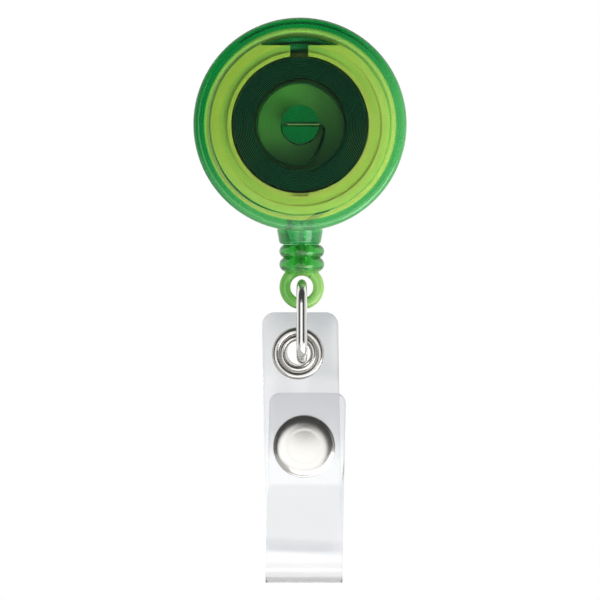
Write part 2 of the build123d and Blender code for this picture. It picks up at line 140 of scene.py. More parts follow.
def tubeAlong(name, path, radius, reference, sides, closed=False):
    # each ring is the path's point plus radius times (cosine by side plus sine by lift), where side and lift
    # are square to the path and to each other; reference is any direction never along the path
    if closed:
        ahead = np.roll(path, -1, axis=0) - np.roll(path, 1, axis=0)
    else:
        ahead = np.gradient(path, axis=0)
    tangent = unit(ahead)
    side = unit(np.cross(tangent, np.broadcast_to(reference, path.shape)))
    lift = np.cross(side, tangent)
    turn = np.linspace(0, 2 * np.pi, sides, endpoint=False)[None, :, None]
    rings = path[:, None] + radius * (np.cos(turn) * side[:, None] + np.sin(turn) * lift[:, None])
    if not closed:
        first = np.repeat(path[:1, None], sides, axis=1)
        last = np.repeat(path[-1:, None], sides, axis=1)
        rings = np.concatenate((first, rings, last))
    step = np.linalg.norm(np.diff(path, axis=0), axis=1).mean()
    return gridPiece(name, rings, closeRows=closed, closeCols=True, uv=(step, 1 / sides))


def turnedPiece(name, profile, centre, segments, drift=0.0):
    # a profile of (radius, y) turned about the Y axis: x and z are the centre plus radius times cosine and
    # sine, and drift moves each ring's centre in x and z
    turn = np.linspace(0, 2 * np.pi, segments, endpoint=False)[:, None]
    radius, along = profile[:, 0][None], profile[:, 1][None]
    aside = np.zeros_like(profile) + drift
    x = centre[0] + aside[:, 0] + radius * np.cos(turn)
    z = centre[1] + aside[:, 1] + radius * np.sin(turn)
    return gridPiece(name, np.stack((x, along + 0 * turn, z), axis=-1), closeRows=True, closeCols=True)


def bentPath(start, heading, moves, step):
    # a path in the YZ plane from (length, turn in degrees) moves: its heading grows evenly along each move,
    # and y and z add up the heading's cosine and sine; no step is longer than step or turns over mostTurn
    lengths, turns = np.array(moves, float).T
    joints = np.concatenate(([0], np.cumsum(lengths)))
    headings = np.radians(heading + np.concatenate(([0], np.cumsum(turns))))
    counts = np.maximum(np.ceil(lengths / step), np.ceil(np.abs(turns) / mostTurn)).astype(int)
    spans = zip(joints, joints[1:], counts)
    along = np.concatenate([np.linspace(low, high, count, endpoint=False) for low, high, count in spans])
    along = np.append(along, joints[-1])
    middle = np.interp((along[1:] + along[:-1]) / 2, joints, headings)
    run = np.diff(along)
    y = start[0] + np.concatenate(([0], np.cumsum(run * np.cos(middle))))
    z = start[1] + np.concatenate(([0], np.cumsum(run * np.sin(middle))))
    return along, y, z


def boxCentre(nodeName):
    # the middle of a node's box in x and z
    low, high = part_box(nodeName)
    return (low[0] + high[0]) / 2, (low[2] + high[2]) / 2


def addModifier(piece, kind, **settings):
    # one modifier with its settings
    modifier = piece.modifiers.new(kind.lower(), kind)
    for key, value in settings.items():
        setattr(modifier, key, value)


def thicken(piece, thick, edge, segments):
    # half the thickness to each side, then every sharp edge rounded
    addModifier(piece, "SOLIDIFY", thickness=thick, offset=0.0)
    addModifier(piece, "BEVEL", width=edge, segments=segments, limit_method="ANGLE", angle_limit=sharp)
    applyModifiers(piece)


def applyModifiers(piece):
    # the piece's mesh becomes what its modifiers make of it
    graph = bpy.context.evaluated_depsgraph_get()
    mesh = bpy.data.meshes.new_from_object(piece.evaluated_get(graph))
    piece.modifiers.clear()
    piece.data = mesh


def joinPieces(target, others):
    # all meshes in one, welded where they meet
    work = bmesh.new()
    for piece in (target, *others):
        work.from_mesh(piece.data)
    bmesh.ops.remove_doubles(work, verts=work.verts, dist=weldPieces)
    bmesh.ops.recalc_face_normals(work, faces=work.faces)
    work.to_mesh(target.data)
    work.free()
    for piece in others:
        bpy.data.objects.remove(piece)
    target.data.polygons.foreach_set("use_smooth", np.ones(len(target.data.polygons), bool))


def paint(piece, material):
    # the material, in place of any others
    piece.data.materials.clear()
    piece.data.materials.append(material)


def paintNode(nodeName, material):
    # the same material in every slot of a CAD node
    for materialSlot in nodes[nodeName].material_slots:
        materialSlot.material = material


# the camera looks straight at the face, and its lens follows from the width seen at the face's distance
view = {"distance": 0.55, "width": 89.8 * mm, "height": -26.35 * mm, "sensor": 36.0}
cameraData = bpy.data.cameras.new("view")
cameraData.sensor_width = view["sensor"]
cameraData.lens = view["sensor"] * view["distance"] / view["width"]
camera = bpy.data.objects.new("view", cameraData)
camera.location = (0, faceY - view["distance"], view["height"])
camera.rotation_euler = (math.pi / 2, 0, 0)
bpy.context.scene.collection.objects.link(camera)
bpy.context.scene.camera = camera
bpy.context.scene.view_settings.view_transform = "Standard"

studio = {
    "windows": (  # the way to the middle, the cosines where the edge begins and ends, brightness out and in
        ((0.0, 1.0, 0.0), -0.3, 0.0, 0.06, 1.0),  # the backdrop, white all round behind the object
        ((-0.12, -0.965, -0.232), 0.87, 0.95, 0.0, 1.45),  # the viewer's side, a little low and left
        ((0.0, 0.0, -1.0), 0.15, 0.45, 0.0, 1.0),  # the table below
        ((1.0, 0.0, 0.0), 0.7, 0.9, 0.0, 0.6),  # a wall on the right
        ((-1.0, 0.0, 0.0), 0.75, 0.95, 0.0, 0.4),  # and a dimmer one on the left
        ((0.0, -0.9945, 0.1045), 0.9945, 0.9968, 1.0, 0.04),  # the dark card that the case's face mirrors
    ),
    "lamps": (  # name, place, width and height, power, and whether it shows in reflections
        ("rightWindow", (0.45, -0.4, -0.42), (0.4, 0.5), 2.0, True),
        ("lowWindow", (0.1, -0.5, -0.45), (0.6, 0.3), 1.0, True),
        ("nearLamp", (0.09, -0.08, -0.06), (0.05, 0.05), 0.08, False),
    ),
}


def buildStudio():
    # each window is a smooth step on the cosine between the ray and its middle; the brightest one counts,
    # times the dark card, and the camera itself sees plain white
    world = bpy.data.worlds.new("studio")
    bpy.context.scene.world = world
    world.use_nodes = True
    tree = world.node_tree
    tree.nodes.clear()
    where = addNode(tree, "ShaderNodeTexCoord")
    steps = []
    for middle, start, end, outside, inside in studio["windows"]:
        turn = addNode(
            tree, "ShaderNodeVectorMath", {"operation": "DOT_PRODUCT"}, {1: middle},
            {0: (where, "Generated")},
        )
        steps.append(addNode(
            tree, "ShaderNodeMapRange", {"interpolation_type": "SMOOTHSTEP"},
            {1: start, 2: end, 3: outside, 4: inside}, {0: (turn, 1)},
        ))
    total = steps[0]
    operations = ["MAXIMUM"] * (len(steps) - 2) + ["MULTIPLY"]
    for operation, window in zip(operations, steps[1:]):
        total = addNode(
            tree, "ShaderNodeMath", {"operation": operation}, links={0: (total, 0), 1: (window, 0)}
        )
    ray = addNode(tree, "ShaderNodeLightPath")
    seen = addNode(
        tree, "ShaderNodeMix", {"data_type": "FLOAT"}, {3: 1.0},
        {0: (ray, "Is Camera Ray"), 2: (total, 0)},
    )
    background = addNode(tree, "ShaderNodeBackground", links={0: (seen, 0)})
    addNode(tree, "ShaderNodeOutputWorld", links={0: (background, 0)})


def addLamp(name, place, size, power, mirrored):
    # a soft panel turned to the object's middle: its tilt is the aim's angle from straight down
    data = bpy.data.lights.new(name, "AREA")
    data.shape = "RECTANGLE"
    data.size, data.size_y = size
    data.energy = power
    lamp = bpy.data.objects.new(name, data)
    lamp.visible_glossy = mirrored
    aim = np.array((0, middleY, view["height"])) - np.array(place)
    lamp.location = place
    tilt = math.acos(-aim[2] / np.linalg.norm(aim))
    lamp.rotation_euler = (tilt, 0, math.atan2(aim[0], -aim[1]) + math.pi)
    bpy.context.scene.collection.objects.link(lamp)


buildStudio()
for lampRow in studio["lamps"]:
    addLamp(*lampRow)

# the floor lies below the strap with the cord pulled right out
ground = {"drop": 0.95, "half": 2.5, "colour": "f4f4f2", "roughness": 0.7}
groundPoints = np.array([[(x, y, -ground["drop"]) for x in (-1, 1)] for y in (-1, 1)], float)
groundPoints[..., :2] *= ground["half"]
floor = gridPiece("floor", groundPoints)
floorMaterial, floorTree = newMaterial("pale_painted_board")  # a plain matt white
floorPaint = addNode(
    floorTree, "ShaderNodeBsdfPrincipled",
    values={"Base Color": linear(ground["colour"]), "Roughness": ground["roughness"]},
)
addNode(floorTree, "ShaderNodeOutputMaterial", links={0: (floorPaint, 0)})
floor.data.materials.append(floorMaterial)
print("studio ready")


reach = 28 * mm  # the radius at which every ramp of colour ends
sides = {  # the way to the light, and how far along it the light's share is none and all
    "case": ((0.6, 0.0, -0.8), -8 * mm, 6 * mm),
    "fitting": ((1.0, 0.0, 0.0), -2 * mm, 3 * mm),
}
greens = {  # the dye's strength per metre, then (radius in mm, colour, clearness) off the light and to it
    # clear green, with a bright lime line of painted light just inside the face's rim, and the rim painted
    # deep green off the light and a paler, hazier green towards it
    "case": {
        "name": "moulded_clear_green_polystyrene", "density": 330.0, "lit": sides["case"],
        "shade": (
            (13.5, "f2fff4", 1.0), (13.8, "e8f890", 0.8), (14.25, "d8f090", 0.85), (14.5, "40d4a4", 0.95),
            (16.0, "40d4a4", 0.95), (16.3, "60d28c", 0.86),
        ),
        "light": (
            (13.7, "f2fff4", 1.0), (13.9, "f4f29a", 0.75), (14.3, "f4f29a", 0.75), (14.5, "a8eab8", 0.86),
            (16.0, "a8eab8", 0.86), (16.3, "60d28c", 0.86),
        ),
    },
    # cloudier, with a painted highlight that makes the eye yellower, and painted light that makes it paler and
    # hazier towards the light
    "fitting": {
        "name": "moulded_cloudy_green_polystyrene", "density": 430.0, "lit": sides["fitting"],
        "shade": ((21.6, "70d070", 0.9), (22.6, "8cc860", 0.72)),
        "light": ((21.6, "7cd874", 0.88), (22.6, "b4d880", 0.6)),
    },
    # a deep green that hardly lets light through, painted a little darker at its edge on the side to the
    # light, as shadow
    "arbor": {
        "name": "moulded_deep_green_polystyrene", "density": 330.0, "lit": sides["case"],
        "shade": ((0.0, "057c4a", 0.3), (3.0, "057c4a", 0.3)),
        "light": ((0.0, "057c4a", 0.3), (3.0, "05744a", 0.3)),
    },
}
greenSurface = {  # the size of the flow marks and how finely they break up, then gloss, ripple and colours
    "flow": 4.545 * mm, "detail": 3.0, "glossiest": 0.015, "dullest": 0.06, "ripple": 0.02 * mm,
    "rippleShare": 0.1, "ior": 1.59, "shadow": "fafffb", "dye": "59e19b",
}


def addLit(tree, where, towards, start, end):
    # how far along the way to the light a point lies, from none to all
    along = addNode(
        tree, "ShaderNodeVectorMath", {"operation": "DOT_PRODUCT"}, {1: towards}, {0: (where, "Object")}
    )
    return addNode(tree, "ShaderNodeMapRange", values={1: start, 2: end}, links={0: (along, 1)})


def addRings(tree, where, stops):
    # colour and clearness by distance from the reel's axis, the root of x squared plus z squared
    flat = addNode(
        tree, "ShaderNodeVectorMath", {"operation": "MULTIPLY"}, {1: (1.0, 0.0, 1.0)},
        {0: (where, "Object")},
    )
    length = addNode(tree, "ShaderNodeVectorMath", {"operation": "LENGTH"}, links={0: (flat, 0)})
    share = addNode(tree, "ShaderNodeMath", {"operation": "DIVIDE"}, {1: reach}, {0: (length, 1)})
    ramp = addNode(tree, "ShaderNodeValToRGB", links={0: (share, 0)})
    fillRamp(ramp, [(radius * mm / reach, (*linear(colour)[:3], clear)) for radius, colour, clear in stops])
    return ramp


def addClearShadow(tree, body, colour):
    # the body for every ray but a shadow's, which passes with a faint tint
    passing = addNode(tree, "ShaderNodeBsdfTransparent", values={0: linear(colour)})
    ray = addNode(tree, "ShaderNodeLightPath")
    return addNode(
        tree, "ShaderNodeMixShader", links={0: (ray, "Is Shadow Ray"), 1: (body, 0), 2: (passing, 0)}
    )


def makeMouldedGreen(name, density, lit, shade, light):
    # injection-moulded polystyrene: glossy faces over a green depth, painted paler and hazier towards the
    # light; colour and clearness are the dark ring ramp of painted shade mixed into the pale one of painted
    # light by the light's share
    material, tree = newMaterial(name)
    where = addNode(tree, "ShaderNodeTexCoord")
    flow = addNode(
        tree, "ShaderNodeTexNoise",
        values={"Scale": 1 / greenSurface["flow"], "Detail": greenSurface["detail"]},
        links={0: (where, "Object")},
    )
    side = addLit(tree, where, *lit)
    dark, pale = addRings(tree, where, shade), addRings(tree, where, light)
    colour = addNode(
        tree, "ShaderNodeMix", {"data_type": "RGBA"}, links={0: (side, 0), 6: (dark, 0), 7: (pale, 0)}
    )
    clear = addNode(
        tree, "ShaderNodeMix", {"data_type": "FLOAT"}, links={0: (side, 0), 2: (dark, 1), 3: (pale, 1)}
    )
    gloss = addNode(
        tree, "ShaderNodeMapRange", values={3: greenSurface["glossiest"], 4: greenSurface["dullest"]},
        links={0: (flow, 0)},
    )
    ripple = addNode(
        tree, "ShaderNodeBump",
        values={"Strength": greenSurface["rippleShare"], "Distance": greenSurface["ripple"]},
        links={"Height": (flow, 0)},
    )
    body = addNode(
        tree, "ShaderNodeBsdfPrincipled", values={"IOR": greenSurface["ior"]},
        links={
            "Base Color": (colour, 2), "Transmission Weight": (clear, 0), "Roughness": (gloss, 0),
            "Normal": (ripple, 0),
        },
    )
    surface = addClearShadow(tree, body, greenSurface["shadow"])
    tint = addNode(
        tree, "ShaderNodeVolumeAbsorption",
        values={"Color": linear(greenSurface["dye"]), "Density": density},
    )
    addNode(tree, "ShaderNodeOutputMaterial", links={0: (surface, 0), 1: (tint, 0)})
    return material


limes = {  # (radius in mm, colour) off the light and to it, then the cloud and the glow; painted shade makes the web inside 7.6 mm greener, and darker again towards the light, and makes a band from 11.1 to 11.8 mm duller, while painted light makes the flange paler towards the light
    "shade": (
        (7.0, "8aac58"), (7.6, "e8c45c"), (10.9, "f4c860"), (11.1, "d6c864"), (11.8, "d0c460"),
        (12.2, "ecc45c"), (13.9, "f0c860"),
    ),
    "light": (
        (7.0, "6c9858"), (7.6, "f8c878"), (10.9, "f8c470"), (11.1, "e6cc6c"), (11.8, "ecd06c"),
        (12.2, "ffd87c"), (13.9, "ffdc90"),
    ),
    "cloud": 6.25 * mm, "detail": 2.0, "cloudiest": 0.88, "roughness": 0.35, "ior": 1.49, "glow": 0.4,
    "glowColours": (1.0, 1.0, 0.35), "glowDepth": 1.0 * mm,
}


def makeMouldedLime():
    # moulded translucent polypropylene: a soft glow from within, with painted shade for a greener web and a
    # duller band on the flange, and painted light on the side to the light; the colour is the dark ring ramp
    # mixed into the pale one, times a faint cloud
    material, tree = newMaterial("moulded_translucent_lime_polypropylene")
    where = addNode(tree, "ShaderNodeTexCoord")
    cloud = addNode(
        tree, "ShaderNodeTexNoise", values={"Scale": 1 / limes["cloud"], "Detail": limes["detail"]},
        links={0: (where, "Object")},
    )
    side = addLit(tree, where, *sides["case"])
    dark, pale = (
        addRings(tree, where, [(*stop, 1.0) for stop in stops]) for stops in (limes["shade"], limes["light"])
    )
    rings = addNode(
        tree, "ShaderNodeMix", {"data_type": "RGBA"}, links={0: (side, 0), 6: (dark, 0), 7: (pale, 0)}
    )
    shade = addNode(
        tree, "ShaderNodeMapRange", values={3: 1.0, 4: limes["cloudiest"]}, links={0: (cloud, 0)}
    )
    colour = addNode(
        tree, "ShaderNodeVectorMath", {"operation": "SCALE"}, links={0: (rings, 2), "Scale": (shade, 0)}
    )
    body = addNode(
        tree, "ShaderNodeBsdfPrincipled",
        values={
            "Roughness": limes["roughness"], "IOR": limes["ior"], "Subsurface Weight": limes["glow"],
            "Subsurface Radius": limes["glowColours"], "Subsurface Scale": limes["glowDepth"],
        },
        links={"Base Color": (colour, 0)},
    )
    addNode(tree, "ShaderNodeOutputMaterial", links={0: (body, 0)})
    return material


metals = (  # name, colour, roughness, the grain's size and its height
    ("spring_steel_painted_glint", "c4d088", 0.4, 1.11 * mm, 0.004 * mm),  # the spring's end in the slot, painted pale lime as a glint of light through the slot
    ("rolled_blued_spring_steel", "1e5644", 0.35, 1.11 * mm, 0.004 * mm),  # a dark coil with a dull gleam
    ("tumbled_nickel_plate", "eceae6", 0.34, 0.222 * mm, 0.008 * mm),  # soft even shine of small hardware
    ("worn_nickel_plate", "d4d2ce", 0.22, 0.714 * mm, 0.02 * mm),  # a little scuffed by the link
    ("blasted_nickel_plate", "e2e0dc", 0.2, 0.2 * mm, 0.01 * mm),  # a white face with a dark soft shoulder
    ("drawn_nickel_plated_wire", "ecebe8", 0.14, 2.0 * mm, 0.003 * mm),  # long bright lines along the wire
    ("pressed_nickel_plated_spring_steel", "d2d2ce", 0.24, 1.43 * mm, 0.004 * mm),  # a smooth grey clip
)
metalGrain = {"detail": 4.0, "glossiest": 0.75, "dullest": 1.35, "heightShare": 0.4}


def makeMetal(name, colour, roughness, grain, depth):
    # bare or plated metal with a fine grain: one noise, its scale one over the grain's size, moves both the
    # height and the roughness, which lies between two shares of its middle value
    material, tree = newMaterial(name)
    where = addNode(tree, "ShaderNodeTexCoord")
    noise = addNode(
        tree, "ShaderNodeTexNoise", values={"Scale": 1 / grain, "Detail": metalGrain["detail"]},
        links={0: (where, "Object")},
    )
    dull = addNode(
        tree, "ShaderNodeMapRange",
        values={3: roughness * metalGrain["glossiest"], 4: roughness * metalGrain["dullest"]},
        links={0: (noise, 0)},
    )
    bump = addNode(
        tree, "ShaderNodeBump", values={"Strength": metalGrain["heightShare"], "Distance": depth},
        links={"Height": (noise, 0)},
    )
    body = addNode(
        tree, "ShaderNodeBsdfPrincipled",
        values={"Base Color": linear(colour), "Metallic": 1.0},
        links={"Roughness": (dull, 0), "Normal": (bump, 0)},
    )
    addNode(tree, "ShaderNodeOutputMaterial", links={0: (body, 0)})
    return material


braidLook = {  # real ridges of 0.2 mm are drawn larger, so that they show
    "ridge": 0.5 * mm, "strands": 4, "height": 0.04 * mm, "heightShare": 0.6,
    "valley": "04583a", "crest": "148c5c", "roughness": 0.6, "sheen": 0.15, "sheenRoughness": 0.4,
}


def makeBraidedCord():
    # dark green braided nylon: crossing ridges and a soft sheen, with painted shade darkening the valleys
    # between them; the height is the larger of two sines, of the phase along the cord plus and minus the phase
    # round it, and it also mixes the colour from valley to crest
    material, tree = newMaterial("braided_dark_green_nylon")
    where = addNode(tree, "ShaderNodeUVMap", {"uv_map": "length"})
    axes = addNode(tree, "ShaderNodeSeparateXYZ", links={0: (where, 0)})
    waves = ((1 / braidLook["ridge"], "X"), (braidLook["strands"], "Y"))
    along, around = (
        addNode(tree, "ShaderNodeMath", {"operation": "MULTIPLY"}, {1: 2 * math.pi * rate}, {0: (axes, axis)})
        for rate, axis in waves
    )
    ridges = []
    for operation in ("ADD", "SUBTRACT"):
        phase = addNode(
            tree, "ShaderNodeMath", {"operation": operation}, links={0: (along, 0), 1: (around, 0)}
        )
        ridges.append(addNode(tree, "ShaderNodeMath", {"operation": "SINE"}, links={0: (phase, 0)}))
    braid = addNode(
        tree, "ShaderNodeMath", {"operation": "MAXIMUM"}, links={0: (ridges[0], 0), 1: (ridges[1], 0)}
    )
    bump = addNode(
        tree, "ShaderNodeBump",
        values={"Strength": braidLook["heightShare"], "Distance": braidLook["height"]},
        links={"Height": (braid, 0)},
    )
    # painted shade: the valleys darker than the crests
    colour = addNode(
        tree, "ShaderNodeMix", {"data_type": "RGBA"},
        {6: linear(braidLook["valley"]), 7: linear(braidLook["crest"])}, {0: (braid, 0)},
    )
    body = addNode(
        tree, "ShaderNodeBsdfPrincipled",
        values={
            "Roughness": braidLook["roughness"], "Sheen Weight": braidLook["sheen"],
            "Sheen Roughness": braidLook["sheenRoughness"],
        },
        links={"Base Color": (colour, 2), "Normal": (bump, 0)},
    )
    addNode(tree, "ShaderNodeOutputMaterial", links={0: (body, 0)})
    return material


vinyl = {  # painted shade and light by height in mm, in stripes a little out of level, then the sheet's streaks and surface
    "slant": 0.05, "top": -26 * mm, "foot": -71 * mm,
    "paintedShading": (
        (-27, "b8bbbe"), (-37, "cdd0d1"), (-38.5, "dcdddf"), (-46, "e4e5e7"), (-50.5, "f9fafb"),
        (-62.2, "f9fafb"), (-62.6, "f3f4f5"), (-64.1, "eff0f2"), (-64.4, "fdfdfd"), (-67.5, "fdfdfd"),
        (-67.8, "f8f8f9"),
    ),
    "streakSize": 7.69 * mm, "streakDetail": 1.0, "streakSquash": 0.35, "streakEdges": (0.48, 0.62),
    "streakShare": 0.4, "streakColour": "fcfcfd", "wave": 11.1 * mm, "waveDetail": 2.0, "glossiest": 0.04,
    "dullest": 0.16, "waveHeight": 0.1 * mm, "waveShare": 0.25, "ior": 1.53, "shadow": "e8eaea",
}


def makeClearVinyl():
    # calendered clear vinyl: glossy and lightly waved, painted grey near its top as shade, with long pale
    # streaks; the painted shade and light go by height plus a little of x, and are mixed towards the streaks'
    # colour by a stretched noise
    material, tree = newMaterial("calendered_clear_vinyl")
    where = addNode(tree, "ShaderNodeTexCoord")
    axes = addNode(tree, "ShaderNodeSeparateXYZ", links={0: (where, "Object")})
    slant = addNode(
        tree, "ShaderNodeMath", {"operation": "MULTIPLY_ADD"}, {1: vinyl["slant"]},
        {0: (axes, "X"), 2: (axes, "Z")},
    )
    down = addNode(
        tree, "ShaderNodeMapRange", values={1: vinyl["top"], 2: vinyl["foot"]}, links={0: (slant, 0)}
    )
    ramp = addNode(tree, "ShaderNodeValToRGB", links={0: (down, 0)})
    span = vinyl["foot"] - vinyl["top"]
    paintedShading = [((height * mm - vinyl["top"]) / span, linear(colour)) for height, colour in vinyl["paintedShading"]]
    fillRamp(ramp, paintedShading)
    long = addNode(
        tree, "ShaderNodeMapping", values={"Scale": (1.0, 1.0, vinyl["streakSquash"])},
        links={0: (where, "Object")},
    )
    streaks = addNode(
        tree, "ShaderNodeTexNoise",
        values={"Scale": 1 / vinyl["streakSize"], "Detail": vinyl["streakDetail"]},
        links={0: (long, 0)},
    )
    first, last = vinyl["streakEdges"]
    streak = addNode(
        tree, "ShaderNodeMapRange", {"interpolation_type": "SMOOTHSTEP"},
        {1: first, 2: last, 4: vinyl["streakShare"]}, {0: (streaks, 0)},
    )
    colour = addNode(
        tree, "ShaderNodeMix", {"data_type": "RGBA"}, {7: linear(vinyl["streakColour"])},
        {0: (streak, 0), 6: (ramp, 0)},
    )
    marks = addNode(
        tree, "ShaderNodeTexNoise", values={"Scale": 1 / vinyl["wave"], "Detail": vinyl["waveDetail"]},
        links={0: (where, "Object")},
    )
    gloss = addNode(
        tree, "ShaderNodeMapRange", values={3: vinyl["glossiest"], 4: vinyl["dullest"]},
        links={0: (marks, 0)},
    )
    wave = addNode(
        tree, "ShaderNodeBump", values={"Strength": vinyl["waveShare"], "Distance": vinyl["waveHeight"]},
        links={"Height": (marks, 0)},
    )
    body = addNode(
        tree, "ShaderNodeBsdfPrincipled",
        values={"Transmission Weight": 1.0, "IOR": vinyl["ior"]},
        links={"Base Color": (colour, 2), "Roughness": (gloss, 0), "Normal": (wave, 0)},
    )
    surface = addClearShadow(tree, body, vinyl["shadow"])
    addNode(tree, "ShaderNodeOutputMaterial", links={0: (surface, 0)})
    return material


caseGreen, fittingGreen, arborGreen = (makeMouldedGreen(**green) for green in greens.values())
mouldedLime = makeMouldedLime()
glintSteel, springSteel, satinNickel, eyeletNickel, capNickel, brightNickel, clipSteel = (
    makeMetal(*metal) for metal in metals
)
braidedNylon = makeBraidedCord()
clearVinyl = makeClearVinyl()

for material, nodeNames in (
    (caseGreen, ("front_cover", "rear_cover")), (fittingGreen, ("end_fitting",)),
    (arborGreen, ("spring_arbor",)), (mouldedLime, ("cord_spool",)),
    (satinNickel, ("snap_socket", "snap_stud", "snap_post", "eyelet_washer", "snap_cap", "clip_rivets")),
    (springSteel, ("snap_spring",)), (brightNickel, ("wire_link",)), (braidedNylon, ("spool_knot",)),
):
    for nodeName in nodeNames:
        paintNode(nodeName, material)
print("materials ready")


# the strap: one strip of vinyl, folded up at its foot and snapped
strap = {
    "width": 11.5 * mm, "thick": 0.5 * mm, "topCorner": 1.9 * mm, "flapCorner": 1.6 * mm,
    "foldRadius": 2.65 * mm, "foldX": 0.6 * mm, "flapTopX": 1.15 * mm, "straight": 1.5 * mm,
    "leanRadius": 12.0 * mm, "flapY": -10.4 * mm, "flapHeight": 28.5 * mm, "step": 0.6 * mm,
    "cornerRows": 9, "columns": 24, "holeRadius": 2.0 * mm, "block": 4.2 * mm, "rings": 6,
    "edge": 0.08 * mm, "edgeSteps": 2, "blendFrom": -7.9 * mm, "blendTo": -10.1 * mm,
}


def buildStrap():
    # each point is the strip's path at its length, moved sideways by its share of half the strip's width;
    # the half width shortens at both ends along a circle of the corner's radius
    backHigh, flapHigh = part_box("strap_back")[1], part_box("strap_flap")[1]
    holeX, holeZ = boxCentre("eyelet_washer")
    topZ = backHigh[2]
    foldZ = flapHigh[2] - strap["flapHeight"] + strap["foldRadius"] + strap["thick"] / 2
    foldY = backHigh[1] - strap["thick"] / 2 - 2 * strap["foldRadius"]
    # the flap leans from the fold's front to its own plane in two equal and opposite arcs
    lean = math.degrees(math.acos(1 - (strap["flapY"] - foldY) / (2 * strap["leanRadius"])))
    arc = strap["leanRadius"] * math.radians(lean)
    rise = 2 * strap["leanRadius"] * math.sin(math.radians(lean))
    foldRun = math.pi * strap["foldRadius"]
    moves = (
        (topZ - foldZ, 0), (foldRun, -180), (strap["straight"], 0),
        (arc, -lean), (arc, lean), (flapHigh[2] - foldZ - strap["straight"] - rise, 0),
    )
    along, y, z = bentPath((backHigh[1] - strap["thick"] / 2, topZ), -90, moves, strap["step"])
    total = along[-1]
    # more rows where the end corners are round
    ends = np.linspace(0, 1, strap["cornerRows"])[1:-1] ** 2
    extra = np.concatenate((ends * strap["topCorner"], total - ends * strap["flapCorner"]))
    holeAt = topZ - holeZ
    block = (holeAt - strap["block"], holeAt + strap["block"])
    rows = np.unique(np.concatenate((along, extra, block)).round(7))
    y, z = np.interp(rows, along, y), np.interp(rows, along, z)
    spots = (0, topZ - foldZ, topZ - foldZ + foldRun, total)
    middle = np.interp(rows, spots, (0, strap["foldX"], strap["foldX"], strap["flapTopX"]))
    half = np.full_like(rows, strap["width"] / 2)
    for distance, corner in ((rows, strap["topCorner"]), (total - rows, strap["flapCorner"])):
        short = np.clip(corner - distance, 0, corner)
        half -= corner - np.sqrt(corner**2 - short**2)
    across = np.linspace(-1, 1, strap["columns"] + 1)
    x = middle[:, None] + half[:, None] * across
    points = np.stack((x, y[:, None] + 0 * x, z[:, None] + 0 * x), axis=-1)
    first, last = (int(np.argmin(np.abs(rows - edge))) for edge in block)
    upper = gridPiece("vinyl_strap", points[:first + 1])
    lower = gridPiece("strapLower", points[last:])
    # round the eyelet: the block's outline drawn in to the hole, ring by ring
    rim = np.concatenate((
        points[first, :-1], points[first:last, -1], points[last, :0:-1], points[last:first:-1, 0],
    ))
    centre = np.array((holeX, rim[0, 1], topZ - holeAt))
    hole = centre + unit(rim - centre) * strap["holeRadius"]
    share = np.linspace(0, 1, strap["rings"] + 1)[:, None, None]
    patch = gridPiece("strapPatch", rim * (1 - share) + hole * share, closeCols=True)
    joinPieces(upper, (lower, patch))
    return upper, total


vinylStrap, strapLength = buildStrap()
thicken(vinylStrap, strap["thick"], strap["edge"], strap["edgeSteps"])
paint(vinylStrap, clearVinyl)
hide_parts("strap_back", "strap_flap")
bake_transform(vinylStrap)
print("strap ready", round(strapLength * 1000, 1))


# the belt clip: one strip of spring steel bent over, its foot flared
clip = {
    "width": 12.0 * mm, "thick": 0.8 * mm, "bendRadius": 2.7 * mm, "bendZ": 10.6 * mm, "footZ": -11.0 * mm,
    "bladeRun": 19.5 * mm, "flareRadius": 5.0 * mm, "flareTurn": 38, "corner": 3.0 * mm,
    "step": 0.8 * mm, "cornerRows": 11, "columns": 16, "edge": 0.15 * mm, "edgeSteps": 3, "blend": 2.2 * mm,
}


def buildClip():
    # each point is the strip's path up the case, over the bend and down, moved sideways by its share of half
    # the width, which shortens at both ends along a circle of the corner's radius
    moves = (
        (clip["bendZ"] - clip["footZ"], 0), (math.pi * clip["bendRadius"], -180), (clip["bladeRun"], 0),
        (clip["flareRadius"] * math.radians(clip["flareTurn"]), clip["flareTurn"]),
    )
    start = (-clip["bendRadius"], clip["footZ"])
    along, y, z = bentPath(start, 90, moves, clip["step"])
    total = along[-1]
    ends = np.linspace(0, 1, clip["cornerRows"])[1:-1] ** 2 * clip["corner"]
    rows = np.unique(np.concatenate((along, ends, total - ends)).round(7))
    y, z = np.interp(rows, along, y), np.interp(rows, along, z)
    short = np.clip(clip["corner"] - np.minimum(rows, total - rows), 0, clip["corner"])
    half = clip["width"] / 2 - clip["corner"] + np.sqrt(clip["corner"] ** 2 - short**2)
    x = half[:, None] * np.linspace(-1, 1, clip["columns"] + 1)
    return gridPiece("belt_clip", np.stack((x, y[:, None] + 0 * x, z[:, None] + 0 * x), axis=-1))


beltClip = buildClip()
thicken(beltClip, clip["thick"], clip["edge"], clip["edgeSteps"])
paint(beltClip, clipSteel)
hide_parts("clip_plate", "clip_blade")
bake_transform(beltClip)
print("clip ready")


# the cord: wound turns, the lead out to the fitting and its knot
winding = {
    "layers": (11.4 * mm, 12.15 * mm, 12.9 * mm), "turnsPerLayer": 4, "stepsPerTurn": 96, "sides": 10,
    "leadAngle": math.radians(-58.1), "forward": 0.35 * mm, "spread": 0.97, "hold": 0.03,
    "loose": 0.5 * mm, "looseAngle": math.radians(232), "looseSpread": 0.4,
    "offCentre": 0.14 * mm, "offAngle": math.radians(150), "settle": 6,
}


